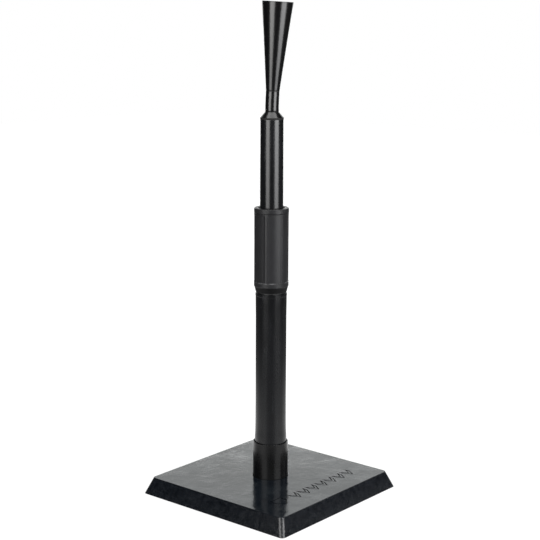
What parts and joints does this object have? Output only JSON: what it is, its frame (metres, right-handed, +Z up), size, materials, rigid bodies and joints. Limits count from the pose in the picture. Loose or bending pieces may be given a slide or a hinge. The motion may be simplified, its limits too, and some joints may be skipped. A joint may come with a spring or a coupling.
{
  "type": "batting tee",
  "caption": "Free-standing batting tee: square rubber base, socketed lower tube, telescoping upper tube with a twist-lock collar, and a flexible hollow ball rest.",
  "frame": {"origin": "centre of the base's underside, on the surface it stands on", "axes": "+Z up along the stem, X and Y along the base's sides, with the moulded ornament along the +X side"},
  "size_m": [0.305, 0.305, 0.817],
  "materials": {
    "base_rubber": "moulded black rubber, low sheen with a fine mottle",
    "socket_black": "semi-gloss black moulding",
    "tube_satin": "satin black tube",
    "grip_rubber": "satin dark grey-black grip",
    "seal_rubber": "soft matt black seal",
    "tube_gloss": "gloss black tube",
    "cap_gloss": "gloss black moulding",
    "rest_rubber": "glossy black flexible rubber",
    "inner_plastic": "matt black engineering plastic",
    "natural_plastic": "natural white acetal",
    "zinc_steel": "zinc plated steel",
    "dowel_steel": "plain drawn steel",
    "insert_brass": "machined brass"
  },
  "bodies": {
    "base": {"base_slab": "base_rubber", "base_socket": "socket_black", "socket_screws": "zinc_steel", "socket_washers": "zinc_steel", "threaded_inserts": "insert_brass"},
    "stem": {"lower_tube": "tube_satin", "foot_plug": "inner_plastic", "foot_pin": "zinc_steel", "lock_ferrule": "inner_plastic", "collet": "natural_plastic"},
    "thrust": {"thrust_ring": "natural_plastic"},
    "collar": {"collar_nut": "inner_plastic", "collar_grip": "grip_rubber", "wiper_ring": "seal_rubber"},
    "guide": {"guide_bush": "natural_plastic"},
    "upper": {"upper_tube": "tube_gloss", "bush_rings": "inner_plastic", "tube_end_plug": "inner_plastic", "neck_cap": "cap_gloss", "neck_dowel": "dowel_steel", "ball_rest": "rest_rubber"}
  },
  "joints": [
    {"name": "stem_lift", "type": "slide", "parent": "base", "child": "stem", "axis": [0, 0, 1], "range_m": [0, 0.07]},
    {"name": "collar_rise", "type": "slide", "parent": "stem", "child": "thrust", "axis": [0, 0, 1], "range_m": [0, 0.0021]},
    {"name": "collar_twist", "type": "hinge", "parent": "thrust", "child": "collar", "pos_m": [0, 0, 0.416], "axis": [0, 0, 1], "range_deg": [0, 180]},
    {"name": "height", "type": "slide", "parent": "stem", "child": "guide", "axis": [0, 0, 1], "range_m": [-0.135, 0.1]},
    {"name": "swivel", "type": "hinge", "parent": "guide", "child": "upper", "pos_m": [0, 0, 0.208], "axis": [0, 0, 1], "continuous": true}
  ],
  "couplings": [
    {"joint": "collar_rise", "follows": "collar_twist", "m_per_rad": 0.00063662}
  ]
}
